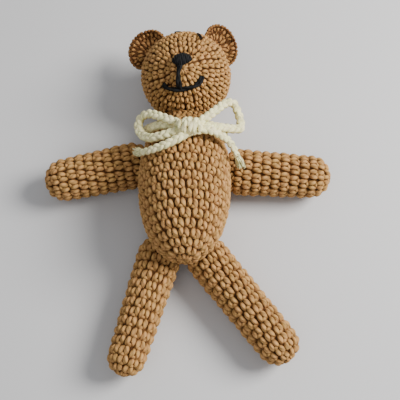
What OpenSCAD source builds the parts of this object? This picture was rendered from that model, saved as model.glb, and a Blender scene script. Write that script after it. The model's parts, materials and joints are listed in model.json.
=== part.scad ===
// Crocheted teddy bear with thread-jointed head, arms and legs, lying on its back.
// +Z is the belly side, +Y points to the head, +X is to the right as the belly is seen from above.
// The origin is the middle of the flat patch of the back that the bear lies on.

/* [Torso] */
// Length from the neck seam to the bottom end
torso_len = 91; // [88:0.5:94]
// Largest radius of the stuffed torso
torso_r = 25.2; // [24.5:0.1:26]
// Height of the torso's axis above the back, over the origin
torso_z = 25.1; // [24.9:0.1:25.3]
// Tilt of the torso, which lifts its bottom end
torso_tilt = 8; // [6:1:9]
// Thickness of the crocheted fabric
cover_t = 3; // [2.5:0.1:3.5]

/* [Head] */
// Radius of the round head
head_r = 26; // [25.6:0.1:26.4]
// Distance from the origin to the middle of the head
head_y = 60.2; // [60:0.1:61]
// Sideways offset of the head
head_x = 0.2; // [-1:0.2:1.4]
// How far the face tips towards the chest
face_tip = 24; // [15:1:30]
// How far the face turns to one side
face_turn = -3; // [-6:1:6]
// How far the face leans over to one side
face_lean = -6; // [-8:1:8]
// Radius of the muzzle
muzzle_r = 11; // [10:0.5:12]
// How far the muzzle stands out of the round head
muzzle_out = 4; // [3:0.5:5]
// Radius of an ear
ear_r = 13; // [12:0.5:14]

/* [Arms] */
// Length of an arm from its joint to its tip
arm_len = 49.5; // [46:0.5:54]
// Radius of an arm at its joint
arm_r = 13.4; // [12.5:0.1:13.5]
// Radius of an arm near its tip
arm_tip_r = 12.1; // [11:0.1:12.5]
// Turn of the left-hand arm towards the feet
arm_droop_left = 13; // [5:1:20]
// Turn of the right-hand arm towards the feet
arm_droop_right = 4; // [0:1:15]

/* [Legs] */
// Length of the left-hand leg from its joint to its tip
leg_len_left = 65.5; // [62:0.5:68]
// Length of the right-hand leg from its joint to its tip
leg_len_right = 68.5; // [64:0.5:70]
// Radius of a leg at its joint
leg_r = 12.3; // [11.5:0.1:12.5]
// Radius of the left-hand leg near its tip
leg_tip_r_left = 10.3; // [10:0.1:11.5]
// Radius of the right-hand leg near its tip
leg_tip_r_right = 11.5; // [10.5:0.1:12]
// Spread of the left-hand leg from the torso's axis
leg_splay_left = 16; // [12:1:20]
// Spread of the right-hand leg from the torso's axis
leg_splay_right = 38; // [32:1:40]

/* [Bow] */
// Diameter of the cord of the bow
cord_d = 4.8; // [4:0.1:5]
// Diameter of the cord near its ends
tail_d = 3.6; // [3:0.1:4]

/* [Hidden] */
$fn = 64;

yarn_brown = "peru";
yarn_dark = [0.12, 0.1, 0.1];
yarn_cream = [0.95, 0.92, 0.76];
stuffing_white = "whitesmoke";
thread_brown = "saddlebrown";
button_cream = "wheat";

// Where the neck ends along the torso's axis, and the room round each part that turns
neck_y = 38;
seat_gap = 0.4;
seat_reach = 8;
inset_gap = 0.1;

// Joints: the middle of each limb's rounded end and of the head
shoulder_z = arm_r + 0.1;
hip_z = leg_r + 0.1;
S_ARM_L = [-30, 10, shoulder_z];
S_ARM_R = [32, 6, shoulder_z];
S_LEG_L = [-13.6, -43.5, hip_z];
S_LEG_R = [12.6, -44.5, hip_z];
HEAD = [head_x, head_y, head_r + 0.1];

// Directions of the limbs in the plane of the back, and their furthest turns from there
HEADING_ARM_L = 180 + arm_droop_left;
HEADING_ARM_R = -arm_droop_right;
HEADING_LEG_L = -90 - leg_splay_left;
HEADING_LEG_R = -90 + leg_splay_right;
TURNS_ARM_L = [[35, 25]];
TURNS_ARM_R = [[-40, 25]];
TURNS_LEG_L = [[14, 25], [-20, 30]];
TURNS_LEG_R = [[-36, 25], [0, 30]];

// Joint hardware inside each limb and the head
thread_d = 1.6;
knot_r = 1.8;
knot_gap = 0.3;
button_r = 5.5;
button_t = 2;
button_hole_d = 1.4;
thread_hole_d = 2.4;

// Cord radii
cord_r = cord_d / 2;
tail_r = tail_d / 2;

// ---- Curves ------------------------------------------------------------------------

function bezier_at(c, t) =
    pow(1 - t, 3) * c[0] + 3 * t * pow(1 - t, 2) * c[1] + 3 * t * t * (1 - t) * c[2] + pow(t, 3) * c[3];

function bezier(c, n) = [for (i = [0 : n]) bezier_at(c, i / n)];

function unit(v) = v / norm(v);

// A smooth curve through the points of a route, as Catmull-Rom spans of n steps each
function span_at(a, b, c, d, t) =
    0.5 * (2 * b + (c - a) * t + (2 * a - 5 * b + 4 * c - d) * t * t
    + (3 * b - a - 3 * c + d) * t * t * t);

function smooth(p, n) =
    let (last = len(p) - 1)
    concat([for (i = [0 : last - 1]) for (k = [0 : n - 1])
        span_at(p[max(i - 1, 0)], p[i], p[i + 1], p[min(i + 2, last)], k / n)], [p[last]]);

function tangent(p, i) = unit(p[min(i + 1, len(p) - 1)] - p[max(i - 1, 0)]);

function ring(c, t, r, up, sides) =
    let (side = unit(cross(up, t)), over = cross(t, side))
    [for (k = [0 : sides - 1]) c + r * (cos(360 * k / sides) * side + sin(360 * k / sides) * over)];

// A closed tube along a curve; its radius goes from r1 at the start to r2 at the end
module tube(p, r1, r2, up, sides) {
    n = len(p);
    points = [for (i = [0 : n - 1])
        each ring(p[i], tangent(p, i), r1 + (r2 - r1) * i / (n - 1), up, sides)];
    walls = [for (i = [0 : n - 2]) for (k = [0 : sides - 1])
        let (a = i * sides + k, b = i * sides + (k + 1) % sides)
        each [[a, a + sides, b], [b, a + sides, b + sides]]];
    first = [for (k = [0 : sides - 1]) k];
    final = [for (k = [sides - 1 : -1 : 0]) (n - 1) * sides + k];
    polyhedron(points, concat([first], [final], walls));
}

// ---- Torso -------------------------------------------------------------------------

// Half outline of the torso as [radius, place along its axis], pushed in by t
function torso_outline(t) =
    let (low = neck_y - torso_len + t, r = torso_r - t)
    concat(
        bezier([[0, low], [14 - 0.6 * t, low], [r, -36 + 0.5 * t], [r, -4]], 14),
        bezier([[r, -4], [r, 12 - 0.3 * t], [24 - t, 17 - 0.5 * t], [12.5 - t, 33 - 0.5 * t]], 10),
        [[12.5 - t, 50], [0, 50]]);

module torso_round(t) {
    translate([0, 0, torso_z]) rotate([-90 - torso_tilt, 0, 0])
        rotate_extrude($fn = 96) polygon(torso_outline(t));
}

// The dimple that one limb's round end sits in, with room for the limb at its furthest turns,
// each given as a swing in the plane of the back and a lift out of it
module limb_seat(pivot, r, heading, turns) {
    translate(pivot) sphere(r);
    for (turn = turns)
        translate(pivot) rotate([0, 90 - turn[1], heading + turn[0]]) translate([0, 0, seat_reach]) sphere(r);
}

// The dimples that the head, arms and legs sit in, and the flat of the back
module torso_seats(t) {
    gap = seat_gap + t;
    limb_seat(S_ARM_L, arm_r + gap, HEADING_ARM_L, TURNS_ARM_L);
    limb_seat(S_ARM_R, arm_r + gap, HEADING_ARM_R, TURNS_ARM_R);
    limb_seat(S_LEG_L, leg_r + gap, HEADING_LEG_L, TURNS_LEG_L);
    limb_seat(S_LEG_R, leg_r + gap, HEADING_LEG_R, TURNS_LEG_R);
    translate(HEAD) sphere(head_r + gap);
    translate([-60, -80, t - 30]) cube([120, 160, 30]);
}

module torso_solid(t) {
    difference() {
        torso_round(t);
        torso_seats(t);
    }
}

// Straight cylinder between two points
module rod(a, b, d) {
    v = b - a;
    translate(a) rotate([0, acos(v[2] / norm(v)), atan2(v[1], v[0])]) cylinder(h = norm(v), d = d);
}

module thread_ways(d) {
    rod(S_ARM_L, S_ARM_R, d);
    rod(S_LEG_L, S_LEG_R, d);
    rod([HEAD[0], -6, HEAD[2]], HEAD, d);
}

module torso_cover() {
    color(yarn_brown) difference() {
        torso_solid(0);
        torso_solid(cover_t);
        thread_ways(thread_hole_d);
    }
}

module torso_stuffing() {
    color(stuffing_white) difference() {
        torso_solid(cover_t + inset_gap);
        thread_ways(thread_hole_d);
        translate(NECK_ANCHOR) sphere(d = anchor_d + 2 * inset_gap);
    }
}

// A joint thread from one knot to the other, short of both
module joint_thread(a, b) {
    reach = unit(b - a) * (knot_r + knot_gap);
    color(thread_brown) rod(a + reach, b - reach, thread_d);
}

module shoulder_thread() joint_thread(S_ARM_L, S_ARM_R);

module hip_thread() joint_thread(S_LEG_L, S_LEG_R);

// The neck thread ends in a large knot deep in the torso's stuffing
NECK_ANCHOR = [HEAD[0], -4, HEAD[2]];
anchor_d = 4;

module neck_thread() {
    color(thread_brown) union() {
        rod(NECK_ANCHOR, HEAD - [0, knot_r + knot_gap, 0], thread_d);
        translate(NECK_ANCHOR) sphere(d = anchor_d);
    }
}

// ---- Head --------------------------------------------------------------------------

// The head's own frame: +Z out of the snout, +Y to the top of the head
module on_head() {
    translate(HEAD) rotate([face_tip, 0, 0]) rotate([0, face_turn, face_lean]) children();
}

module head_round(t) {
    translate(HEAD) sphere(head_r - t);
    on_head() translate([0, 0, head_r + muzzle_out - muzzle_r]) sphere(muzzle_r - t);
}

// The hole that the neck thread runs in, in the head and its stuffing
module head_thread_way() {
    rod(HEAD, HEAD - [0, head_r + 2, 0], thread_hole_d);
}

module head_cover() {
    color(yarn_brown) difference() {
        head_round(0);
        head_round(cover_t);
        head_thread_way();
    }
}

module head_stuffing() {
    color(stuffing_white) difference() {
        head_round(cover_t + inset_gap);
        head_thread_way();
        translate(HEAD) joint_hollow([-90, 0, 0]);
    }
}

module head_button() {
    color(button_cream) translate(HEAD) joint_button([-90, 0, 0]);
}

module neck_knot() {
    color(thread_brown) translate(HEAD) sphere(knot_r);
}

// ---- Joint button, and the hollow that it and its knot take up, along local +Z ------

module joint_button(turn) {
    rotate(turn) translate([0, 0, knot_r + knot_gap]) difference() {
        cylinder(h = button_t, r = button_r);
        for (a = [0 : 90 : 270])
            rotate(a + 45) translate([1.8, 0, -1]) cylinder(h = button_t + 2, d = button_hole_d);
    }
}

module joint_hollow(turn) {
    rotate(turn) {
        sphere(knot_r + knot_gap);
        cylinder(h = knot_r + knot_gap + button_t + inset_gap, r = button_r + inset_gap);
    }
}

// ---- Arms and legs -----------------------------------------------------------------

// Half outline of a limb: round at its joint, tapering, and round at its tip
function limb_outline(len, r1, r2, t) = concat(
    [for (a = [-90 : 7.5 : 0]) [(r1 - t) * cos(a), (r1 - t) * sin(a)]],
    [for (a = [0 : 7.5 : 90]) [(r2 - t) * cos(a), len - r2 + (r2 - t) * sin(a)]]);

// Places a limb that is drawn along local +Z; heading is its direction in the plane of the back
module limb_at(pivot, heading) {
    translate(pivot) rotate([0, 0, heading]) rotate([0, 90, 0]) children();
}

module limb_round(len, r1, r2, t) {
    rotate_extrude($fn = 72) polygon(limb_outline(len, r1, r2, t));
}

// inward is the direction of the thread, from the pivot to the torso
module limb_cover(len, r1, r2, pivot, heading, inward) {
    color(yarn_brown) difference() {
        limb_at(pivot, heading) limb_round(len, r1, r2, 0);
        limb_at(pivot, heading) limb_round(len, r1, r2, cover_t);
        rod(pivot, pivot + inward * (r1 + 3), thread_hole_d);
    }
}

module limb_stuffing(len, r1, r2, pivot, heading, inward) {
    color(stuffing_white) difference() {
        limb_at(pivot, heading) limb_round(len, r1, r2, cover_t + inset_gap);
        limb_at(pivot, heading) joint_hollow([0, 0, 0]);
        rod(pivot, pivot + inward * (r1 + 3), thread_hole_d);
    }
}

module limb_button(pivot, heading) {
    color(button_cream) limb_at(pivot, heading) joint_button([0, 0, 0]);
}

module limb_knot(pivot) {
    color(thread_brown) translate(pivot) sphere(knot_r);
}

ACROSS_ARMS = unit(S_ARM_R - S_ARM_L);
ACROSS_LEGS = unit(S_LEG_R - S_LEG_L);

module left_arm_cover() limb_cover(arm_len, arm_r, arm_tip_r, S_ARM_L, HEADING_ARM_L, ACROSS_ARMS);
module left_arm_stuffing() limb_stuffing(arm_len, arm_r, arm_tip_r, S_ARM_L, HEADING_ARM_L, ACROSS_ARMS);
module left_arm_button() limb_button(S_ARM_L, HEADING_ARM_L);
module left_shoulder_knot() limb_knot(S_ARM_L);

module right_arm_cover() limb_cover(arm_len, arm_r, arm_tip_r, S_ARM_R, HEADING_ARM_R, -ACROSS_ARMS);
module right_arm_stuffing() limb_stuffing(arm_len, arm_r, arm_tip_r, S_ARM_R, HEADING_ARM_R, -ACROSS_ARMS);
module right_arm_button() limb_button(S_ARM_R, HEADING_ARM_R);
module right_shoulder_knot() limb_knot(S_ARM_R);

module left_leg_cover() limb_cover(leg_len_left, leg_r, leg_tip_r_left, S_LEG_L, HEADING_LEG_L, ACROSS_LEGS);
module left_leg_stuffing() limb_stuffing(leg_len_left, leg_r, leg_tip_r_left, S_LEG_L, HEADING_LEG_L, ACROSS_LEGS);
module left_leg_button() limb_button(S_LEG_L, HEADING_LEG_L);
module left_hip_knot() limb_knot(S_LEG_L);

module right_leg_cover() limb_cover(leg_len_right, leg_r, leg_tip_r_right, S_LEG_R, HEADING_LEG_R, -ACROSS_LEGS);
module right_leg_stuffing() limb_stuffing(leg_len_right, leg_r, leg_tip_r_right, S_LEG_R, HEADING_LEG_R, -ACROSS_LEGS);
module right_leg_button() limb_button(S_LEG_R, HEADING_LEG_R);
module right_hip_knot() limb_knot(S_LEG_R);

// ---- Face --------------------------------------------------------------------------

// Point on the face, given across and up from the snout's axis, at height h over the surface
function face_point(x, y, h) =
    let (top = head_r + muzzle_out - muzzle_r, d = sqrt(x * x + y * y),
         on_muzzle = top + sqrt(max(0, pow(muzzle_r + h, 2) - d * d)),
         on_head = sqrt(max(0, pow(head_r + h, 2) - d * d)))
    [x, y, max(on_muzzle, on_head)];

function face_route(p, h) = [for (q = p) face_point(q[0], q[1], h)];

NOSE = [[-1, 1.2], [-4.9, 2.7], [-5.9, 4.1], [-4.4, 7.4], [-1, 9.1], [2.4, 8.5], [4.3, 6.3], [3.5, 4.3], [1, 2.6]];
STEM = [[-1.2, 2.6], [-1.75, -2.3], [-1.35, -6.7], [-0.7, -10]];
SMILE = [[-10, -8], [-8, -9.9], [-4, -10.5], [1, -9.7], [5.5, -8.6], [9.2, -6], [10.9, -1.9]];
nose_t = 2.4;
mouth_d = 3.2;
face_sink = -0.3;

module nose() {
    low = [for (q = NOSE) face_point(q[0], q[1], face_sink)];
    high = [for (q = NOSE) face_point(0.75 * q[0], 0.6 * q[1] + 1.4, nose_t)];
    color(yarn_dark) on_head() hull() {
        for (p = concat(low, high)) translate(p) cube(0.4, center = true);
    }
}

module mouth_stem() {
    color(yarn_dark) on_head() tube(smooth(face_route(STEM, mouth_d * 0.35), 2), mouth_d / 2, mouth_d / 2,
                                    [1, 0, 0], 8);
}

module smile() {
    color(yarn_dark) on_head() tube(smooth(face_route(SMILE, mouth_d * 0.35), 2), mouth_d / 2, mouth_d / 2,
                                    [0, 0, 1], 8);
}

EYE = [[-1.9, 1.9], [-0.7, 1.6], [0.8, 0], [1.6, -2.3]];
eye_side = 16;
EYE_UP = [79, 58];
eye_d = 1.8;

// One short arc of yarn on the forehead; side is -1 or 1, and up is its angle from the snout
module eye(side, up) {
    route = [for (q = EYE) unit([side * q[0], q[1], head_r]) * (head_r + eye_d * 0.35)];
    color(yarn_dark) on_head() rotate([0, 0, -side * eye_side]) rotate([-up, 0, 0])
        tube(smooth(route, 2), eye_d / 2, eye_d / 2, [0, 0, 1], 8);
}

module left_eye() eye(-1, EYE_UP[0]);
module right_eye() eye(1, EYE_UP[1]);

EAR_L = [-22, 18.2, 0];
EAR_R = [20, 20.7, 1];
ear_t = 3;
ear_cup = 6;

// A cupped ear: a round shell with its hollow to the front, sunk into the side of the head
module ear(place, turn) {
    shell_r = (ear_r * ear_r + ear_cup * ear_cup) / (2 * ear_cup);
    color(yarn_brown) difference() {
        translate(HEAD + place) rotate(turn) difference() {
            translate([0, 0, shell_r - ear_cup]) sphere(shell_r);
            translate([0, 0, shell_r - ear_cup]) sphere(shell_r - ear_t);
            translate([-40, -40, 0.01]) cube([80, 80, 80]);
        }
        translate(HEAD) sphere(head_r);
    }
}

module left_ear() ear(EAR_L, [10, -20, 0]);
module right_ear() ear(EAR_R, [10, 40, 0]);

// ---- Bow ---------------------------------------------------------------------------

KNOT = [2.2, 14, 52.7];
knot_len = 13;
knot_round_r = 4.8;

band_gap = 0.8;

// The band lies on the torso round the neck: low on the chest in front, high on the nape behind
function torso_radius(y) = lookup(y, [for (q = torso_outline(0)) [q[1], q[0]]]);

function band_point(a) =
    let (y = 26 - 12 * cos(a), rho = torso_radius(y) + cord_r + band_gap, z = rho * cos(a))
    [rho * sin(a), y * cos(torso_tilt) + z * sin(torso_tilt),
     torso_z + z * cos(torso_tilt) - y * sin(torso_tilt)];

BAND = concat([[4, 15.5, 51]], [for (a = [30 : 17 : 336]) band_point(a)], [[0, 15.5, 51]]);

LOOP_L = [[-1, 16, 51], [-6, 18, 51], [-12, 21.5, 49], [-18, 25, 46], [-22, 25.5, 43], [-24.3, 23.5, 40.5],
          [-24.5, 19.5, 39.5], [-22, 14.8, 41], [-17.5, 11.3, 45], [-12, 10.8, 48.3], [-6, 11.8, 50.3],
          [-1.5, 13, 51]];
LOOP_R = [[5.5, 16, 51], [11, 20, 50.5], [16.5, 25.8, 48.5], [22, 31.5, 46], [26, 33.3, 43], [28.5, 29.5, 40],
          [30, 25, 37.5], [30, 21.5, 37], [27, 20, 38.5], [21, 18.5, 42.5], [14, 16.5, 48], [6.5, 15, 50.8]];
TAIL_L = [[2, 11, 51.5], [-2, 8, 52], [-8, 4.8, 51.5], [-14, 3.3, 49.3], [-19, 3.2, 45.8], [-22.3, 4.2, 42.3]];
TAIL_R = [[6, 12.5, 51.2], [12, 13.5, 50], [17, 13, 47], [22, 12, 42.5], [25.5, 9.5, 38.5], [28, 6, 34]];
TUFT_L = [[-22.3, 4.2, 42.3], [-24.2, 5.4, 40], [-25.6, 7, 38]];
TUFT_R = [[28, 6, 34], [29.5, 3.5, 31.5], [30.5, 1.5, 29.5]];

module neck_band() {
    color(yarn_cream) tube(BAND, cord_r, cord_r, [0, 1, 0], 8);
}

module bow_knot() {
    color(yarn_cream) translate(KNOT) rotate([0, 90, 0]) rotate_extrude($fn = 48)
        polygon([for (a = [-90 : 10 : 90]) [knot_round_r * cos(a), knot_len / 2 * sin(a)]]);
}

module bow_loop_left() color(yarn_cream) tube(LOOP_L, cord_r, cord_r, [0, 0, 1], 8);
module bow_loop_right() color(yarn_cream) tube(LOOP_R, cord_r, cord_r, [0, 0, 1], 8);
module bow_tail_left() color(yarn_cream) tube(TAIL_L, cord_r, tail_r, [0, 1, 0], 8);
module bow_tail_right() color(yarn_cream) tube(TAIL_R, cord_r, tail_r, [0, 1, 0], 8);
module bow_tuft_left() color(yarn_cream) tube(TUFT_L, tail_r, 2.4, [0, 1, 0], 8);
module bow_tuft_right() color(yarn_cream) tube(TUFT_R, tail_r, 2.4, [0, 1, 0], 8);

torso_cover();
torso_stuffing();
shoulder_thread();
hip_thread();
neck_thread();
head_cover();
head_stuffing();
head_button();
neck_knot();
nose();
mouth_stem();
smile();
left_eye();
right_eye();
left_ear();
right_ear();
left_arm_cover();
left_arm_stuffing();
left_arm_button();
left_shoulder_knot();
right_arm_cover();
right_arm_stuffing();
right_arm_button();
right_shoulder_knot();
left_leg_cover();
left_leg_stuffing();
left_leg_button();
left_hip_knot();
right_leg_cover();
right_leg_stuffing();
right_leg_button();
right_hip_knot();
neck_band();
bow_knot();
bow_loop_left();
bow_loop_right();
bow_tail_left();
bow_tail_right();
bow_tuft_left();
bow_tuft_right();
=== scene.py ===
"""Crocheted teddy bear on its back, with a cord bow. Metres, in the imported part's own frame."""
import json
import math
import random

import bpy
import numpy as np
from mathutils import Matrix, Vector


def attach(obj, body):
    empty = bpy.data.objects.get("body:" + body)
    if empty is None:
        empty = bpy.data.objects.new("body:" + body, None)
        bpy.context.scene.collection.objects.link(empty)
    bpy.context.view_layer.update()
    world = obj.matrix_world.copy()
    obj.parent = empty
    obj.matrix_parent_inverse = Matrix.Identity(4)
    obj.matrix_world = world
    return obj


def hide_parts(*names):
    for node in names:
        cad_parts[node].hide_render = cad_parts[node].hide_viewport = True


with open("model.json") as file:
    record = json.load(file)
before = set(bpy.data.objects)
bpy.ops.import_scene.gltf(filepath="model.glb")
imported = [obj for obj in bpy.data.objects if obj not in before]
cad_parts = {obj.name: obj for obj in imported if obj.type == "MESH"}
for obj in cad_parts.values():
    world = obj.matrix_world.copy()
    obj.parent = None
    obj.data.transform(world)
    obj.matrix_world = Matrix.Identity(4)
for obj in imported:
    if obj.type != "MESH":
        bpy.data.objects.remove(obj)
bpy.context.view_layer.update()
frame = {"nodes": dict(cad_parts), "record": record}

MM = 0.001
JOINTS = {j["name"]: j for j in frame["record"]["behaviour"]["joints"]}


def pivot(joint):
    return np.array(JOINTS[joint]["pos_m"])


def unit(v):
    return v / np.maximum(np.linalg.norm(v, axis=-1, keepdims=True), 1e-12)


# ---- Camera: the bear is seen from above its belly, leaning over its feet ------------

CAMERA_DISTANCE = 0.42
CAMERA_TILT = math.radians(22.8)
CAMERA_AIM = Vector((0.0082, -0.005, 0))
CAMERA_LENS = 66.3


def add_camera():
    data = bpy.data.cameras.new("camera")
    data.lens = CAMERA_LENS
    data.sensor_width = 36
    data.clip_start = 0.01
    camera = bpy.data.objects.new("camera", data)
    bpy.context.collection.objects.link(camera)
    back = Vector((0, -math.sin(CAMERA_TILT), math.cos(CAMERA_TILT)))
    camera.location = CAMERA_AIM + CAMERA_DISTANCE * back
    camera.rotation_euler = (CAMERA_TILT, 0, 0)
    bpy.context.scene.camera = camera


# ---- Materials ---------------------------------------------------------------------


class Nodes:
    """Adds nodes to one material and links them by socket name."""

    def __init__(self, name):
        self.material = bpy.data.materials.new(name)
        self.material.use_nodes = True
        self.tree = self.material.node_tree
        self.shader = self.tree.nodes["Principled BSDF"]

    def add(self, kind, settings=(), **inputs):
        node = self.tree.nodes.new("ShaderNode" + kind)
        for key, value in dict(settings).items():
            setattr(node, key, value)
        for key, value in inputs.items():
            self.put(node, key.replace("_", " "), value)
        return node

    def put(self, node, socket, value):
        target = node.inputs[int(socket)] if socket.isdigit() else node.inputs[socket]
        if isinstance(value, bpy.types.NodeSocket):
            self.tree.links.new(value, target)
        else:
            target.default_value = value

    def math(self, operation, a, b=0.0, c=0.0):
        node = self.tree.nodes.new("ShaderNodeMath")
        node.operation = operation
        for i, value in enumerate((a, b, c)):
            self.put(node, str(i), value)
        return node.outputs[0]

    def ramp(self, value, stops):
        node = self.add("ValToRGB")
        ramp = node.color_ramp
        while len(ramp.elements) < len(stops):
            ramp.elements.new(0.5)
        for element, (place, color) in zip(ramp.elements, stops):
            element.position = place
            element.color = (*color, 1)
        self.put(node, "Fac", value)
        return node.outputs["Color"]

    def mix(self, factor, a, b, blend="MIX"):
        node = self.add("Mix", {"data_type": "RGBA", "blend_type": blend})
        self.put(node, "0", factor)
        self.put(node, "6", a)
        self.put(node, "7", b)
        return node.outputs[2]

    def noise(self, vector, scale, detail=3.0, rough=0.6):
        node = self.add("TexNoise", Vector=vector, Scale=scale, Detail=detail, Roughness=rough)
        return node.outputs["Fac"]


def yarn_material(name, deep, mid, crest, plies=3.0, twist=330.0, rough=0.85, sheen=0.08, tint=None):
    """Plied yarn. Its strands carry a UV map: U is metres along the strand, V goes once round it.
    The 'rise' attribute is 0 deep between the stitches and 1 on their crests; the colour ramp on it paints
    shade deep down and highlight on the crests."""
    n = Nodes(name)
    uv = n.add("UVMap", {"uv_map": "strand"}).outputs["UV"]
    split = n.add("SeparateXYZ", Vector=uv)
    along, round_ = split.outputs["X"], split.outputs["Y"]
    rise = n.add("Attribute", {"attribute_name": "rise"}).outputs["Fac"]
    place = n.add("TexCoord").outputs["Object"]

    # The plies wind round the strand, and each is made of fine fibres that follow it
    lay = n.math("ADD", n.math("MULTIPLY", round_, plies), n.math("MULTIPLY", along, twist))
    ply = n.math("ABSOLUTE", n.math("SINE", n.math("MULTIPLY", lay, math.pi)))
    fibre_along = n.math("MULTIPLY", along, 500.0)
    fibre_round = n.math("MULTIPLY", lay, 9.0)
    fibre_at = n.add("CombineXYZ", X=fibre_along, Y=fibre_round).outputs[0]
    fibre = n.noise(fibre_at, 1.0, 2.0)
    blotch = n.noise(place, 260.0, 2.0)
    wide = n.noise(place, 42.0, 2.0)

    # Painted shade and highlight: the yarn is coloured dark deep between the stitches and light on their
    # crests
    color = n.ramp(rise, [(0.0, deep), (0.5, mid), (0.95, crest)])
    # Painted shade: the yarn is darkened in the grooves between the plies
    groove_shade = n.math("MULTIPLY", n.math("SUBTRACT", 1.0, ply), 0.42)
    color = n.mix(groove_shade, color, (*[0.42 * c for c in mid], 1))
    shade = n.ramp(fibre, [(0.25, (0.74, 0.74, 0.74)), (0.75, (1.16, 1.16, 1.16))])
    color = n.mix(0.8, color, shade, "MULTIPLY")
    warm = n.ramp(blotch, [(0.3, (0.94, 1.0, 0.88)), (0.7, (1.07, 0.98, 1.1))])
    color = n.mix(0.7, color, warm, "MULTIPLY")
    dirt = n.ramp(wide, [(0.3, (0.9, 0.88, 0.86)), (0.7, (1.05, 1.05, 1.05))])
    color = n.mix(0.6, color, dirt, "MULTIPLY")
    n.put(n.shader, "Base Color", color)
    n.put(n.shader, "Roughness", rough)
    n.put(n.shader, "Sheen Weight", sheen)
    n.put(n.shader, "Sheen Roughness", 0.5)
    n.put(n.shader, "Sheen Tint", (*(tint or crest), 1))
    n.put(n.shader, "Specular IOR Level", 0.2)

    bump = n.add("Bump", Strength=0.7, Distance=0.0004, Height=ply)
    fuzz = n.add("Bump", Strength=0.45, Distance=0.0002, Height=fibre, Normal=bump.outputs[0])
    n.put(n.shader, "Normal", fuzz.outputs[0])
    return n.material


def backing_material(name, deep, mid):
    """Painted shade: the dark inside of the fabric that shows between stitches, where shade falls."""
    n = Nodes(name)
    place = n.add("TexCoord").outputs["Object"]
    color = n.ramp(n.noise(place, 700.0), [(0.3, deep), (0.75, mid)])
    n.put(n.shader, "Base Color", color)
    n.put(n.shader, "Roughness", 0.95)
    n.put(n.shader, "Specular IOR Level", 0.1)
    bump = n.add("Bump", Strength=0.6, Distance=0.0004, Height=n.noise(place, 900.0))
    n.put(n.shader, "Normal", bump.outputs[0])
    return n.material


def stuffing_material():
    n = Nodes("polyester_fibre")
    place = n.add("TexCoord").outputs["Object"]
    wisp = n.noise(place, 350.0, 6.0, 0.7)
    n.put(n.shader, "Base Color", n.ramp(wisp, [(0.3, (0.62, 0.62, 0.6)), (0.7, (0.86, 0.86, 0.85))]))
    n.put(n.shader, "Roughness", 0.9)
    n.put(n.shader, "Sheen Weight", 0.4)
    bump = n.add("Bump", Strength=1.0, Distance=0.001, Height=wisp)
    n.put(n.shader, "Normal", bump.outputs[0])
    return n.material


def thread_material():
    n = Nodes("waxed_thread")
    place = n.add("TexCoord").outputs["Object"]
    lines = n.add("TexWave", Vector=place, Scale=400.0, Distortion=2.0).outputs["Fac"]
    n.put(n.shader, "Base Color", n.ramp(lines, [(0.2, (0.12, 0.06, 0.03)), (0.8, (0.34, 0.2, 0.1))]))
    n.put(n.shader, "Roughness", 0.55)
    bump = n.add("Bump", Strength=0.6, Distance=0.0002, Height=lines)
    n.put(n.shader, "Normal", bump.outputs[0])
    return n.material


def button_material():
    n = Nodes("moulded_button")
    place = n.add("TexCoord").outputs["Object"]
    cloud = n.noise(place, 180.0, 4.0)
    n.put(n.shader, "Base Color", n.ramp(cloud, [(0.3, (0.62, 0.5, 0.34)), (0.7, (0.8, 0.7, 0.54))]))
    n.put(n.shader, "Roughness", n.ramp(cloud, [(0.3, (0.3, 0.3, 0.3)), (0.7, (0.45, 0.45, 0.45))]))
    bump = n.add("Bump", Strength=0.2, Distance=0.0002, Height=n.noise(place, 1200.0))
    n.put(n.shader, "Normal", bump.outputs[0])
    return n.material


# ---- Meshes ------------------------------------------------------------------------


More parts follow.
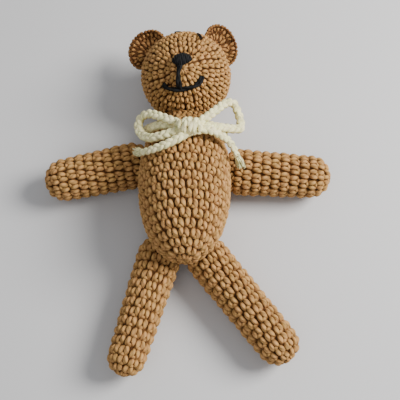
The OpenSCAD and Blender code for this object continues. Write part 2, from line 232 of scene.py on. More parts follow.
class Build:
    """Collects vertices and quads with their strand coordinates, and makes one mesh object."""

    def __init__(self):
        self.points, self.quads, self.uvs, self.rises, self.slots = [], [], [], [], []
        self.count = 0

    def grid(self, points, uv, rise, slot=0, closed_u=False, closed_v=False):
        """points is (U, V, 3), uv is (U + 1, V + 1, 2), rise is (U, V)."""
        nu, nv = points.shape[:2]
        index = self.count + np.arange(nu * nv).reshape(nu, nv)
        iu = np.arange(nu if closed_u else nu - 1)
        iv = np.arange(nv if closed_v else nv - 1)
        a, b = np.meshgrid(iu, iv, indexing="ij")
        a2, b2 = (a + 1) % nu, (b + 1) % nv
        quads = np.stack([index[a, b], index[a2, b], index[a2, b2], index[a, b2]], -1).reshape(-1, 4)
        corner = np.stack([uv[a, b], uv[a + 1, b], uv[a + 1, b + 1], uv[a, b + 1]], -2).reshape(-1, 4, 2)
        self.points.append(points.reshape(-1, 3))
        self.rises.append(np.broadcast_to(rise, (nu, nv)).reshape(-1))
        self.quads.append(quads)
        self.uvs.append(corner)
        self.slots.append(np.full(len(quads), slot))
        self.count += nu * nv

    def strands(self, paths, radii, ups, rises, sides=8, slot=0, start=None):
        """Tubes along paths (N, K, 3) with radii (N, K), closed at both ends."""
        paths, radii = np.asarray(paths), np.asarray(radii)
        count, steps = paths.shape[:2]
        ahead = np.gradient(paths, axis=1)
        ahead = unit(ahead)
        side = unit(np.cross(ups, ahead))
        over = np.cross(ahead, side)
        angle = 2 * math.pi * np.arange(sides) / sides
        ring = (np.cos(angle)[None, None, :, None] * side[:, :, None]
                + np.sin(angle)[None, None, :, None] * over[:, :, None])
        points = paths[:, :, None] + radii[:, :, None, None] * ring
        step = np.linalg.norm(np.diff(paths, axis=1), axis=-1)
        along = np.concatenate([np.zeros((count, 1)), np.cumsum(step, axis=1)], axis=1)
        if start is None:
            start = np.arange(count) * 0.0137
        along = along + np.asarray(start)[:, None]

        index = self.count + np.arange(count * steps * sides).reshape(count, steps, sides)
        k = np.arange(sides)
        after = (k + 1) % sides
        low, high = index[:, :-1], index[:, 1:]
        quads = np.stack([low[..., k], high[..., k], high[..., after], low[..., after]], -1)
        turn = np.broadcast_to(k / sides, (count, steps - 1, sides))
        next_turn = turn + 1 / sides
        u0 = np.broadcast_to(along[:, :-1, None], turn.shape)
        u1 = np.broadcast_to(along[:, 1:, None], turn.shape)
        uv = np.stack([np.stack([u0, turn], -1), np.stack([u1, turn], -1),
                       np.stack([u1, next_turn], -1), np.stack([u0, next_turn], -1)], -2)
        # Painted light and shade: the rise grows on the side of each strand that faces its up direction and
        # drops on the side facing in
        lift = np.sin(angle)[None, None, :] * radii[:, :, None]
        self.points.append(points.reshape(-1, 3))
        self.rises.append((np.asarray(rises)[:, :, None] + lift / (2 * radii.max())).reshape(-1))
        self.quads.append(quads.reshape(-1, 4))
        self.uvs.append(uv.reshape(-1, 4, 2))
        self.slots.append(np.full(len(quads.reshape(-1, 4)), slot))
        self.count += count * steps * sides
        for end, order in ((0, 1), (-1, -1)):
            caps = index[:, end, ::-order]
            for c in range(1, sides - 2, 2):
                cap = np.stack([caps[:, 0], caps[:, c], caps[:, c + 1], caps[:, c + 2]], -1)
                self.quads.append(cap)
                self.uvs.append(np.broadcast_to(uv[:, end, :1], (count, 1, 4, 2)).reshape(-1, 4, 2))
                self.slots.append(np.full(count, slot))

    def make(self, name, materials, move=None):
        points = np.concatenate(self.points)
        if move is not None:
            points = move(points)
        quads = np.concatenate(self.quads)
        mesh = bpy.data.meshes.new(name)
        mesh.vertices.add(len(points))
        mesh.vertices.foreach_set("co", points.astype(np.float32).ravel())
        mesh.loops.add(4 * len(quads))
        mesh.loops.foreach_set("vertex_index", quads.astype(np.int32).ravel())
        mesh.polygons.add(len(quads))
        mesh.polygons.foreach_set("loop_start", np.arange(0, 4 * len(quads), 4, dtype=np.int32))
        mesh.update(calc_edges=True)
        for material in materials:
            mesh.materials.append(material)
        mesh.polygons.foreach_set("material_index", np.concatenate(self.slots).astype(np.int32))
        mesh.polygons.foreach_set("use_smooth", np.ones(len(quads), dtype=bool))
        layer = mesh.uv_layers.new(name="strand")
        layer.data.foreach_set("uv", np.concatenate(self.uvs).astype(np.float32).ravel())
        rise = mesh.attributes.new("rise", "FLOAT", "POINT")
        rise.data.foreach_set("value", np.concatenate(self.rises).astype(np.float32))
        mesh.validate()
        piece = bpy.data.objects.new(name, mesh)
        bpy.context.collection.objects.link(piece)
        return piece


# ---- Crochet -----------------------------------------------------------------------

ROW = 5.1 * MM
STITCH = 6.6 * MM
LEG_R = 1.38 * MM
BACKING = 2.1 * MM


def outline_functions(outline):
    """Outline points (height, radius) to place and length by distance along it."""
    outline = np.asarray(outline, float)
    step = np.linalg.norm(np.diff(outline, axis=0), axis=1)
    keep = np.concatenate([[True], step > 1e-9])
    outline, length = outline[keep], np.concatenate([[0], np.cumsum(step)])[keep]

    def at(s):
        s = np.clip(s, 0, length[-1])
        return np.interp(s, length, outline[:, 0]), np.interp(s, length, outline[:, 1])

    return at, length[-1]


class Surface:
    """A surface of revolution: the axis is +Z of the matrix, outline points are (height, radius)."""

    def __init__(self, outline, matrix):
        self.at, self.length = outline_functions(outline)
        self.turn, self.move = matrix[:3, :3], matrix[:3, 3]

    def place(self, s, angle):
        """World points and outward normals at distances s along the outline."""
        height, radius = self.at(s)
        d = 0.4 * MM
        h1, r1 = self.at(s + d)
        h0, r0 = self.at(s - d)
        nr, nh = h1 - h0, -(r1 - r0)
        size = np.maximum(np.hypot(nr, nh), 1e-9)
        nr, nh = nr / size, nh / size
        c, k = np.cos(angle), np.sin(angle)
        point = np.stack([radius * c, radius * k, height], -1)
        normal = np.stack([nr * c, nr * k, nh], -1)
        return point @ self.turn.T + self.move, normal @ self.turn.T


def leg_path(side, t):
    """One of the two legs of a stitch: across and up in stitch units, and its depth and thickness."""
    across = side * (0.17 + 0.13 * t)
    up = -0.50 + 0.93 * t + 0.04 * side
    depth = np.where(t < 0.5, 1.25, 0.9) * np.abs(2 * t - 1.0) ** 2.2
    thick = 0.42 + 0.58 * np.sin(math.pi * np.clip(0.05 + 0.9 * t, 0, 1)) ** 0.8
    return across, up, depth, thick


def loop_path(t):
    """The small front loop that closes a stitch between the lower ends of its two legs."""
    across = 0.36 * (t - 0.5)
    up = 0.46 - 0.10 * np.sin(math.pi * t)
    depth = 0.10 + 0.9 * np.abs(2 * t - 1) ** 2
    thick = 0.45 + 0.32 * np.sin(math.pi * t)
    return across, up, depth, thick


def crochet(build, surface, flip=1, row=ROW, stitch=STITCH, leg_r=LEG_R, seed=1, slant=0.07,
            first=0.0, last=None, dive=1.0):
    """Rounds of single crochet on a surface; flip turns the stitches' points round."""
    rng = random.Random(seed)
    last = surface.length if last is None else last
    rows = max(2, round((last - first) / row))
    pitch = (last - first) / rows
    steps = np.linspace(0, 1, 9)
    paths, radii, ups, rises = [], [], [], []
    phase = 0.0
    for k in range(rows):
        middle = first + (k + 0.5) * pitch
        radius = float(surface.at(np.array([middle]))[1][0])
        count = max(5, round(2 * math.pi * radius / stitch))
        width = 2 * math.pi / count
        squeeze = min(1.0, 2 * math.pi * radius / count / stitch)
        phase += 0.27 * width
        for i in range(count):
            drift = rng.uniform(-0.04, 0.04)
            bob = rng.uniform(-0.04, 0.04)
            fat = rng.uniform(0.95, 1.06) * (0.45 + 0.55 * squeeze)
            lean = slant + rng.uniform(-0.05, 0.05)
            proud = rng.uniform(-0.25, 0.05) * MM
            strands = [leg_path(-1, steps), leg_path(1, steps), loop_path(steps)]
            for across, up, depth, thick in strands:
                turned = across + drift + lean * up
                angle = phase + (i + turned) * width
                s = middle + flip * (up + bob) * pitch
                point, normal = surface.place(s, angle)
                sunk = -leg_r * (1.0 + 0.95 * dive * depth) + proud
                paths.append(point + sunk[:, None] * normal)
                radii.append(leg_r * fat * thick)
                ups.append(normal)
                # Painted shade: the rise falls as a strand dives between the stitches, so the yarn ramp
                # darkens it there
                rises.append(0.60 - 0.60 * dive * depth)
    build.strands(np.array(paths), np.array(radii), np.array(ups), np.array(rises), sides=8)


def backing(build, surface, inset=BACKING, around=72, step=1.2 * MM, slot=1):
    """The closed inside face of the fabric, under the stitches; its dark material is painted shade."""
    along = max(8, int(surface.length / step))
    s = np.linspace(0, surface.length, along)
    angle = 2 * math.pi * np.arange(around) / around
    grid_s, grid_a = np.meshgrid(s, angle, indexing="ij")
    point, normal = surface.place(grid_s, grid_a)
    point = point - inset * normal
    uv = np.zeros((along + 1, around + 1, 2))
    uv[:, :, 0] = np.linspace(0, surface.length, along + 1)[:, None]
    uv[:, :, 1] = np.linspace(0, 1, around + 1)[None]
    build.grid(point, uv, 0.0, slot=slot, closed_v=True)


def keep_out(points, spheres, floor=0.05 * MM):
    """Presses points out of the round seats of the neighbouring parts, and up off the floor."""
    points = points.copy()
    for middle, radius in spheres:
        away = points - middle
        far = np.linalg.norm(away, axis=1)
        inside = far < radius
        points[inside] = middle + away[inside] * (radius / np.maximum(far[inside], 1e-9))[:, None]
    points[:, 2] = np.maximum(points[:, 2], floor)
    return points


def matrix_along(origin, ahead, up=(0, 0, 1)):
    """A frame with +Z along ahead and +X near up."""
    z = unit(np.array(ahead, float))
    x = np.array(up, float) - np.dot(up, z) * z
    x = unit(x)
    out = np.eye(4)
    out[:3, 0], out[:3, 1], out[:3, 2], out[:3, 3] = x, np.cross(z, x), z, origin
    return out


def arc(radius, middle, start, stop, count):
    """Points (height, radius) on an arc about a middle on the axis, by angle from the axis."""
    return [(middle - radius * math.cos(a), radius * math.sin(a)) for a in np.linspace(start, stop, count)]


# ---- Sizes shared with the CAD part ------------------------------------------------

TORSO_R, TORSO_LEN, TORSO_Z, TORSO_TILT = 25.2 * MM, 91 * MM, 25.1 * MM, math.radians(8)
NECK_Y = 38 * MM
HEAD_R, MUZZLE_R, MUZZLE_OUT = 26 * MM, 11 * MM, 4 * MM
FACE_TIP, FACE_TURN, FACE_LEAN = math.radians(24), math.radians(-3), math.radians(-6)
ARM_LEN, ARM_R, ARM_TIP_R = 49.5 * MM, 13.4 * MM, 12.1 * MM
LEG_LEN = {"left": 65.5 * MM, "right": 68.5 * MM}
HIP_R, LEG_TIP_R = 12.3 * MM, {"left": 10.3 * MM, "right": 11.5 * MM}
SEAT_GAP = 0.4 * MM
HEAD = pivot("head_turn")
S = {"left_arm": pivot("left_shoulder_swing"), "right_arm": pivot("right_shoulder_swing"),
     "left_leg": pivot("left_hip_swing"), "right_leg": pivot("right_hip_swing")}


def heading(joint):
    """The limb's direction at rest, square to its lift axis."""
    x, y, _ = JOINTS[joint]["axis"]
    return np.array([-y, x, 0.0])


def bezier(p, count):
    t = np.linspace(0, 1, count)[:, None]
    p = np.array(p)
    return (1 - t) ** 3 * p[0] + 3 * t * (1 - t) ** 2 * p[1] + 3 * t * t * (1 - t) * p[2] + t ** 3 * p[3]


def torso_outline():
    low = NECK_Y - TORSO_LEN
    body = bezier([(low, 0), (low, 14 * MM), (-36 * MM, TORSO_R), (-4 * MM, TORSO_R)], 60)
    chest = bezier([(-4 * MM, TORSO_R), (12 * MM, TORSO_R), (17 * MM, 24 * MM), (33 * MM, 12.5 * MM)], 50)
    neck = [(41 * MM, 12.5 * MM), (41.5 * MM, 12 * MM), (41.5 * MM, 0)]
    return np.concatenate([body, chest[1:], neck])


TORSO_AXIS = np.array([0, math.cos(TORSO_TILT), -math.sin(TORSO_TILT)])
# Yarn colours: the DEEP ones are painted shade between the stitches, the CREST ones painted highlight on
# their tops, around the yarn's MID tone
BROWN_DEEP_SHADE, BROWN_MID, BROWN_CREST_HIGHLIGHT = (0.04, 0.013, 0.003), (0.26, 0.122, 0.034), (0.58, 0.325, 0.115)
# The ears' colours are a darker copy of the brown yarn: painted shade, for ears that lie in shade
EAR_SHADED_MID, EAR_SHADED_CREST = (0.2, 0.082, 0.022), (0.46, 0.235, 0.08)
CREAM_DEEP_SHADE, CREAM_MID, CREAM_CREST_HIGHLIGHT = (0.45, 0.34, 0.10), (0.92, 0.82, 0.38), (1.0, 0.96, 0.55)
BLACK_DEEP_SHADE, BLACK_MID, BLACK_CREST_HIGHLIGHT = (0.001, 0.001, 0.001), (0.004, 0.004, 0.004), (0.012, 0.012, 0.013)

add_camera()
brown = yarn_material("brown_yarn", BROWN_DEEP_SHADE, BROWN_MID, BROWN_CREST_HIGHLIGHT)
# Painted shade: the ears take a darker copy of the brown yarn
brown_ear = yarn_material("brown_ear_shaded_yarn", BROWN_DEEP_SHADE, EAR_SHADED_MID, EAR_SHADED_CREST)
# The backing's colours are painted shade between the stitches
brown_back = backing_material("brown_backing_painted_shade", (0.035, 0.012, 0.003), (0.13, 0.055, 0.018))
cream = yarn_material("cream_yarn", CREAM_DEEP_SHADE, CREAM_MID, CREAM_CREST_HIGHLIGHT, plies=2.0, twist=260.0, rough=0.75)
black = yarn_material("black_yarn", BLACK_DEEP_SHADE, BLACK_MID, BLACK_CREST_HIGHLIGHT, plies=2.0, twist=240.0, sheen=0.05)


def finish_piece(piece, body, slot, *nodes):
    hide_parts(*nodes)
    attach(piece, body)
    return piece


# ---- Torso, arms and legs ----------------------------------------------------------


def make_torso():
    matrix = matrix_along((0, 0, TORSO_Z), TORSO_AXIS)
    surface = Surface(torso_outline(), matrix)
    build = Build()
    crochet(build, surface, flip=-1, seed=11, last=surface.length - 12 * MM)
    backing(build, surface)
    seats = [(S["left_arm"], ARM_R + SEAT_GAP), (S["right_arm"], ARM_R + SEAT_GAP),
             (S["left_leg"], HIP_R + SEAT_GAP), (S["right_leg"], HIP_R + SEAT_GAP),
             (HEAD, HEAD_R + SEAT_GAP)]
    piece = build.make("torso_crochet", [brown, brown_back], lambda p: keep_out(p, seats))
    finish_piece(piece, "torso", "brown_yarn", "torso_cover")


def make_limb(name, body, joint, length, r1, r2, seed):
    outline = arc(r1, 0, 0, math.pi / 2, 24) + arc(r2, length - r2, math.pi / 2, math.pi, 24)
    surface = Surface(outline, matrix_along(S[body], heading(joint)))
    build = Build()
    crochet(build, surface, flip=1, seed=seed)
    backing(build, surface, around=48)
    piece = build.make(name, [brown, brown_back], lambda p: keep_out(p, []))
    finish_piece(piece, body, "brown_yarn", body + "_cover")


make_torso()
make_limb("left_arm_crochet", "left_arm", "left_shoulder_lift", ARM_LEN, ARM_R, ARM_TIP_R, 21)
make_limb("right_arm_crochet", "right_arm", "right_shoulder_lift", ARM_LEN, ARM_R, ARM_TIP_R, 22)
make_limb("left_leg_crochet", "left_leg", "left_hip_lift", LEG_LEN["left"], HIP_R, LEG_TIP_R["left"], 31)
make_limb("right_leg_crochet", "right_leg", "right_hip_lift", LEG_LEN["right"], HIP_R, LEG_TIP_R["right"], 32)


# ---- Head --------------------------------------------------------------------------


def turn_about(axis, angle):
    return np.array(Matrix.Rotation(angle, 3, axis))


FACE = turn_about("X", FACE_TIP) @ (turn_about("Z", FACE_LEAN) @ turn_about("Y", FACE_TURN))


def head_outline():
    """From the snout to the back of the head: muzzle, a soft crease, and the round head."""
    middle = HEAD_R + MUZZLE_OUT - MUZZLE_R
    heights = (HEAD_R ** 2 - MUZZLE_R ** 2 + middle ** 2) / (2 * middle)
    crease = math.sqrt(HEAD_R ** 2 - heights ** 2)
    a_muzzle = math.atan2(crease, heights - middle)
    a_head = math.atan2(crease, heights)
    muzzle = [(middle + MUZZLE_R * math.cos(a), MUZZLE_R * math.sin(a)) for a in np.linspace(0, a_muzzle, 20)]
    head = [(HEAD_R * math.cos(a), HEAD_R * math.sin(a)) for a in np.linspace(a_head, math.pi, 80)]
    return [(-h, r) for h, r in muzzle + head[1:]]


def make_head():
    matrix = np.eye(4)
    # the outline runs from the snout backwards, so the surface's own +Z points back
    matrix[:3, 0], matrix[:3, 1], matrix[:3, 2] = FACE[:, 0], -FACE[:, 1], -FACE[:, 2]
    matrix[:3, 3] = HEAD
    surface = Surface(head_outline(), matrix)
    build = Build()
    crochet(build, surface, flip=1, seed=41, row=4.5 * MM, stitch=5.4 * MM, leg_r=1.15 * MM)
    backing(build, surface, inset=1.9 * MM)
    piece = build.make("head_crochet", [brown, brown_back], lambda p: keep_out(p, []))
    finish_piece(piece, "head", "brown_yarn", "head_cover")


make_head()


# ---- Ears --------------------------------------------------------------------------

EAR_R = 13 * MM
EARS = {"left": ((-22, 18.2, 0), -20), "right": ((20, 20.7, 1), 40)}
EAR_TIP = 10


def smooth(points, per=6):
    """A Catmull-Rom curve through the points."""
    p = np.asarray(points, float)
    ends = np.concatenate([[2 * p[0] - p[1]], p, [2 * p[-1] - p[-2]]])
    t = np.linspace(0, 1, per, endpoint=False)[:, None]
    spans = []
    for i in range(len(p) - 1):
        a, b, c, d = ends[i:i + 4]
        curve = 2 * b + (c - a) * t + (2 * a - 5 * b + 4 * c - d) * t * t
        spans.append(0.5 * (curve + (3 * b - a - 3 * c + d) * t ** 3))
    return np.concatenate(spans + [p[-1:]])


def make_ear(side, seed):
    place, turn = EARS[side]
    matrix = np.eye(4)
    matrix[:3, :3] = turn_about("Y", math.radians(turn)) @ turn_about("X", math.radians(EAR_TIP))
    matrix[:3, 3] = HEAD + np.array(place) * MM
    cup = [(-6.2, 0), (-5.7, 4.5), (-3.8, 9), (-1.0, 12), (0.9, 12.8), (1.6, 11.8), (0.2, 9.8),
           (-2.1, 6.5), (-3.0, 3), (-3.2, 0)]
    surface = Surface(smooth(np.array(cup) * MM * [1, EAR_R / 13 / MM]), matrix)
    build = Build()
    crochet(build, surface, flip=-1, seed=seed, row=4.1 * MM, stitch=5.0 * MM, leg_r=1.15 * MM, dive=0.35)
    backing(build, surface, inset=1.3 * MM, around=40)
    piece = build.make(side + "_ear_crochet", [brown_ear, brown_back], lambda p: keep_out(p, []))
    finish_piece(piece, "head", "brown_yarn", side + "_ear")


make_ear("left", 51)
make_ear("right", 52)


# ---- Face: nose, mouth and eyes in black yarn --------------------------------------

NOSE = [(-1, 1.2), (-4.9, 2.7), (-5.9, 4.1), (-4.4, 7.4), (-1, 9.1), (2.4, 8.5), (4.3, 6.3), (3.5, 4.3),
        (1, 2.6)]
STEM = [(-1.2, 2.6), (-1.75, -2.3), (-1.35, -6.7), (-0.7, -10)]
SMILE = [(-10, -8), (-8, -9.9), (-4, -10.5), (1, -9.7), (5.5, -8.6), (9.2, -6), (10.9, -1.9)]
EYE = [(-1.9, 1.9), (-0.7, 1.6), (0.8, 0), (1.6, -2.3)]
EYE_SIDE, EYE_UP = 16, {"left": 79, "right": 58}
EYE_OUT = {"left": -0.5 * MM, "right": 0.25 * MM}


def face_point(x, y, height):
    """World points over the muzzle and head; x, y and height in millimetres."""
    x, y, height = np.broadcast_arrays(x, y, height)
    away = x * x + y * y
    top = (HEAD_R + MUZZLE_OUT - MUZZLE_R) / MM
    on_muzzle = top + np.sqrt(np.maximum((MUZZLE_R / MM + height) ** 2 - away, 0))
    on_head = np.sqrt(np.maximum((HEAD_R / MM + height) ** 2 - away, 0))
    local = np.stack([x, y, np.maximum(on_muzzle, on_head)], -1) * MM
    return HEAD + local @ FACE.T


def outline_span(outline, x):
    """Lowest and highest y of a convex outline at x."""
    found = []
    for (x0, y0), (x1, y1) in zip(outline, outline[1:] + outline[:1]):
        if min(x0, x1) <= x <= max(x0, x1) and x0 != x1:
            found.append(y0 + (y1 - y0) * (x - x0) / (x1 - x0))
    return min(found), max(found)


def twisted(build, path, radius, count=2, turn=260.0, ends=0.75):
    """Strands twisted round each other along a path."""
    path = np.asarray(path)
    ahead = unit(np.gradient(path, axis=0))
    up = unit(path - HEAD)
    side = unit(np.cross(up, ahead))
    over = np.cross(ahead, side)
    step = np.linalg.norm(np.diff(path, axis=0), axis=1)
    along = np.concatenate([[0], np.cumsum(step)])
    t = along / along[-1]
    full = ends + (1 - ends) * np.sin(math.pi * t) ** 0.3
    strands = []
    for k in range(count):
        angle = 2 * math.pi * k / count + turn * along
        out = 0.48 * radius * (np.cos(angle)[:, None] * side + np.sin(angle)[:, None] * over)
        strands.append(path + out)
    radii = np.tile(0.62 * radius * full, (count, 1))
    build.strands(strands, radii, np.tile(over, (count, 1, 1)), np.full(radii.shape, 0.5), sides=10)


def make_nose():
    build = Build()
    steps = np.linspace(0, 1, 11)
    for lift, shift in ((0.0, 0.0), (-0.65, 0.5)):
        spacing = 0.98
        for x in np.arange(-5.5 + shift * spacing, 4.1, spacing):
            low, high = outline_span(NOSE, x)
            y = low + (high - low) * steps
            dome = 1.2 * (1 - ((x + 0.8) / 6.6) ** 2) * np.sin(math.pi * steps) ** 0.6 + 0.1 + lift
            lean = x + 0.07 * (y - 5) * (x + 0.8) / 5
            path = face_point(lean, y, dome)
            radii = np.full(11, 0.66 * MM) * (0.7 + 0.3 * np.sin(math.pi * steps) ** 0.4)
            build.strands([path], [radii], [unit(path - HEAD)], [np.full(11, 0.5)], start=[x * 0.011])
    piece = build.make("nose_satin_stitches", [black])
    finish_piece(piece, "head", "black_yarn", "nose")


def make_stroke(name, node, route, radius, height):
    x, y = smooth(route, 8).T
    build = Build()
    twisted(build, face_point(x, y, height), radius)
    piece = build.make(name, [black])
    finish_piece(piece, "head", "black_yarn", node)


def make_eye(side):
    sign = -1 if side == "left" else 1
    turn = turn_about("Z", math.radians(-sign * EYE_SIDE)) @ turn_about("X", math.radians(-EYE_UP[side]))
    arc_points = smooth([(sign * x, y, HEAD_R / MM) for x, y in EYE], 8)
    local = unit(arc_points) * (HEAD_R + EYE_OUT[side])
    build = Build()
    twisted(build, HEAD + local @ (FACE @ turn).T, 0.7 * MM)
    piece = build.make(side + "_eye_stitch", [black])
    finish_piece(piece, "head", "black_yarn", side + "_eye")


make_nose()
make_stroke("mouth_stem_yarn", "mouth_stem", STEM, 1.5 * MM, -0.1)
make_stroke("smile_yarn", "smile", SMILE, 1.5 * MM, -0.1)
make_eye("left")
make_eye("right")


# ---- Bow: a plaited cream cord, tied round the neck --------------------------------

CORD_R, TAIL_R = 2.4 * MM, 1.8 * MM
KNOT = np.array([2.2, 14, 52.7]) * MM
LOOP_LEFT = [(-1, 16, 51), (-6, 18, 51), (-12, 21.5, 49), (-18, 25, 46), (-22, 25.5, 43), (-24.3, 23.5, 40.5),
             (-24.5, 19.5, 39.5), (-22, 14.8, 41), (-17.5, 11.3, 45), (-12, 10.8, 48.3), (-6, 11.8, 50.3),
             (-1.5, 13, 51)]
LOOP_RIGHT = [(5.5, 16, 51), (11, 20, 50.5), (16.5, 25.8, 48.5), (22, 31.5, 46), (26, 33.3, 43),
              (28.5, 29.5, 40),
              (30, 25, 37.5), (30, 21.5, 37), (27, 20, 38.5), (21, 18.5, 42.5), (14, 16.5, 48),
              (6.5, 15, 50.8)]
TAIL_LEFT = [(4.5, 12.5, 51.5), (2, 11, 51.5), (-2, 8, 52), (-8, 4.8, 51.5), (-14, 3.3, 49.3),
             (-19, 3.2, 45.8),
             (-22.3, 4.2, 42.3)]
TAIL_RIGHT = [(3, 12.5, 51.5), (6, 12.5, 51.2), (12, 13.5, 50), (17, 13, 47), (22, 12, 42.5),
              (25.5, 9.5, 38.5), (28, 6, 34)]
TUFT_FIBRES = 80
TUFT_LEFT = [(-22.3, 4.2, 42.3), (-24.2, 5.4, 40), (-25.6, 7, 38)]
TUFT_RIGHT = [(28, 6, 34), (29.5, 3.5, 31.5), (30.5, 1.5, 29.5)]


def band_route():
    """Round the neck just clear of the torso: low on the chest in front, high on the nape behind."""
    outline = torso_outline()
    c, s = math.cos(TORSO_TILT), math.sin(TORSO_TILT)
    points = [(4 * MM, 15.5 * MM, 51 * MM)]
    for degrees in range(30, 337, 17):
        a = math.radians(degrees)
        y = (26 - 12 * math.cos(a)) * MM
        rho = np.interp(y, outline[:, 0], outline[:, 1]) + CORD_R + 0.8 * MM
        z = rho * math.cos(a)
        points.append((rho * math.sin(a), y * c + z * s, TORSO_Z + z * c - y * s))
    return np.array(points + [(0, 15.5 * MM, 51 * MM)])


def even(points, step):
    """The curve again, at even steps of length, and the distance along it."""
    length = np.concatenate([[0], np.cumsum(np.linalg.norm(np.diff(points, axis=0), axis=1))])
    s = np.linspace(0, length[-1], max(8, round(length[-1] / step)))
    return np.stack([np.interp(s, length, points[:, k]) for k in range(3)], -1), s


def rope_frame(path, middle):
    ahead = unit(np.gradient(path, axis=0))
    up = unit(path - np.asarray(middle))
    side = unit(np.cross(up, ahead))
    return side, np.cross(ahead, side)


def plait(build, path, along, radius, middle, pitch=10.5 * MM):
    """Three strands plaited flat along a path; radius is the cord's own at each point."""
    side, over = rope_frame(path, middle)
    strands, radii, rises = [], [], []
    for k in range(3):
        angle = 2 * math.pi * (along / pitch + k / 3)
        across = 0.50 * radius * np.sin(angle)
        depth = 0.30 * radius * np.sin(2 * angle)
        strands.append(path + across[:, None] * side + depth[:, None] * over)
        radii.append(0.56 * radius)
        # Painted light and shade: a strand is lighter where it crosses on top of the plait and darker where
        # it passes under
        rises.append(0.55 + 0.35 * np.sin(2 * angle))
    build.strands(strands, radii, np.tile(over, (3, 1, 1)), np.array(rises), sides=10)


def make_cord(name, node, route, r0, r1, middle):
    path, along = even(smooth(route, 8), 0.8 * MM)
    radius = r0 + (r1 - r0) * (along / along[-1]) ** 2
    build = Build()
    plait(build, path, along, radius, middle)
    piece = build.make(name, [cream], lambda p: keep_out(p, []))
    finish_piece(piece, "torso", "cream_yarn", node)
    return piece


def make_tuft(name, node, route, seed):
    """Loose frayed fibres past the bound end of a tail."""
    rng = random.Random(seed)
    path, along = even(smooth(np.array(route) * MM, 6), 0.7 * MM)
    side, over = rope_frame(path, (0, 0, 0))
    t = along / along[-1]
    strands, radii = [], []
    for _ in range(TUFT_FIBRES):
        a = rng.uniform(0, 2 * math.pi)
        out = math.sqrt(rng.random())
        curl = rng.uniform(-0.5, 0.5)
        spread = out * (1.25 + 1.35 * t ** 0.8) * MM
        angle = a + curl * t
        reach = rng.uniform(0.72, 1.06)
        centre = path[0] + (path - path[0]) * reach
        sideways = (spread * np.cos(angle))[:, None] * side
        upwards = (spread * np.sin(angle))[:, None] * over
        strands.append(centre + sideways + upwards)
        radii.append((0.36 - 0.16 * t) * MM)
    build = Build()
    ups = np.tile(over, (TUFT_FIBRES, 1, 1))
    rises = np.full((TUFT_FIBRES, len(t)), 0.85)
    build.strands(strands, radii, ups, rises, sides=5)
    piece = build.make(name, [cream])
    return finish_piece(piece, "torso", "cream_yarn", node)


def make_knot():
    """Short wraps of the cord side by side over the crossing."""
    build = Build()
    wraps = [(-4.6, 2.3, 1.55, -12), (-1.9, 3.2, 1.7, 8), (0.9, 3.5, 1.75, -5), (3.4, 3.2, 1.7, 12),
             (5.3, 2.2, 1.4, -10)]
    angle = np.linspace(0, 2 * math.pi, 25)
    for x, ring, strand, tilt in wraps:
        lean = math.tan(math.radians(tilt))
        points = np.stack([x + lean * ring * np.cos(angle), ring * np.cos(angle), ring * np.sin(angle)], -1)
        path = KNOT + points * MM
        twist = rope_frame(path, KNOT)
        for half in (0, math.pi):
            turn = half + 2.2 * angle
            offset = np.cos(turn)[:, None] * twist[0] + 0.5 * np.sin(turn)[:, None] * twist[1]
            build.strands([path + 0.45 * strand * MM * offset], [np.full(25, 0.72 * strand * MM)],
                          [twist[1]], [np.full(25, 0.6)], sides=10)
    piece = build.make("bow_knot_wraps", [cream])
    return finish_piece(piece, "torso", "cream_yarn", "bow_knot")


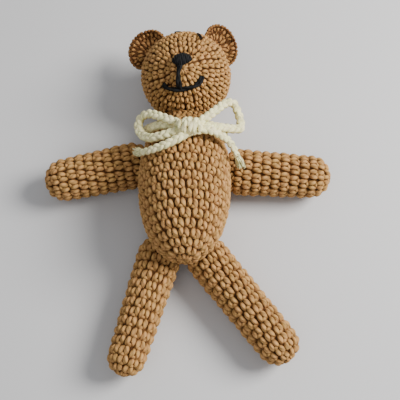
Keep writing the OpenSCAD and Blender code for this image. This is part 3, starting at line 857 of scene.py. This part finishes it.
UNDER = np.array([0, 18, 0]) * MM
NECK_MIDDLE = np.array([0, 26, 22]) * MM
knot = make_knot()
make_cord("neck_band_cord", "neck_band", band_route(), CORD_R, CORD_R, NECK_MIDDLE)
for side, route in (("left", LOOP_LEFT), ("right", LOOP_RIGHT)):
    loop = "bow_loop_" + side
    make_cord(loop + "_cord", loop, np.array(route) * MM, CORD_R, CORD_R, UNDER)
tuft_left = make_tuft("bow_tuft_left_fibres", "bow_tuft_left", TUFT_LEFT, 61)
tuft_right = make_tuft("bow_tuft_right_fibres", "bow_tuft_right", TUFT_RIGHT, 62)
for side, route, tuft in (("left", TAIL_LEFT, tuft_left), ("right", TAIL_RIGHT, tuft_right)):
    tail = "bow_tail_" + side
    make_cord(tail + "_cord", tail, np.array(route) * MM, CORD_R, TAIL_R, UNDER)


# ---- Hidden parts: the CAD solids with their own materials -------------------------


def dress(material, *nodes):
    for node in nodes:
        data = frame["nodes"][node].data
        data.materials.clear()
        data.materials.append(material)


stuffing, thread, button = stuffing_material(), thread_material(), button_material()
LIMBS = ("left_arm", "right_arm", "left_leg", "right_leg")
dress(stuffing, "torso_stuffing", "head_stuffing", *[n + "_stuffing" for n in LIMBS])
dress(thread, "shoulder_thread", "hip_thread", "neck_thread", "neck_knot",
      "left_shoulder_knot", "right_shoulder_knot", "left_hip_knot", "right_hip_knot")
dress(button, "head_button", *[n + "_button" for n in LIMBS])


# ---- Studio ------------------------------------------------------------------------


def add_floor():
    size = 3.0
    mesh = bpy.data.meshes.new("floor")
    corners = [(-size, -size, 0), (size, -size, 0), (size, size, 0), (-size, size, 0)]
    mesh.from_pydata(corners, [], [(0, 1, 2, 3)])
    floor = bpy.data.objects.new("floor", mesh)
    bpy.context.collection.objects.link(floor)
    n = Nodes("pale_floor")
    n.put(n.shader, "Base Color", (0.62, 0.62, 0.63, 1))
    n.put(n.shader, "Roughness", 0.9)
    mesh.materials.append(n.material)


def add_area(name, place, aim, size, power, color=(1, 1, 1)):
    data = bpy.data.lights.new(name, "AREA")
    data.shape = "DISK"
    data.size = size
    data.energy = power
    data.color = color
    lamp = bpy.data.objects.new(name, data)
    lamp.location = place
    lamp.rotation_euler = (Vector(aim) - Vector(place)).to_track_quat("-Z", "Y").to_euler()
    bpy.context.collection.objects.link(lamp)


def add_lights():
    add_area("key", (0.58, 0.08, 0.54), (0.05, 0, 0), 0.42, 11.0, (1.0, 0.98, 0.95))
    add_area("fill", (-0.2, -0.4, 0.8), (0, 0, 0), 0.8, 1.2)
    world = bpy.data.worlds.new("studio")
    bpy.context.scene.world = world
    world.use_nodes = True
    world.node_tree.nodes["Background"].inputs["Color"].default_value = (0.95, 0.97, 1.0, 1)
    world.node_tree.nodes["Background"].inputs["Strength"].default_value = 0.42


add_floor()
add_lights()
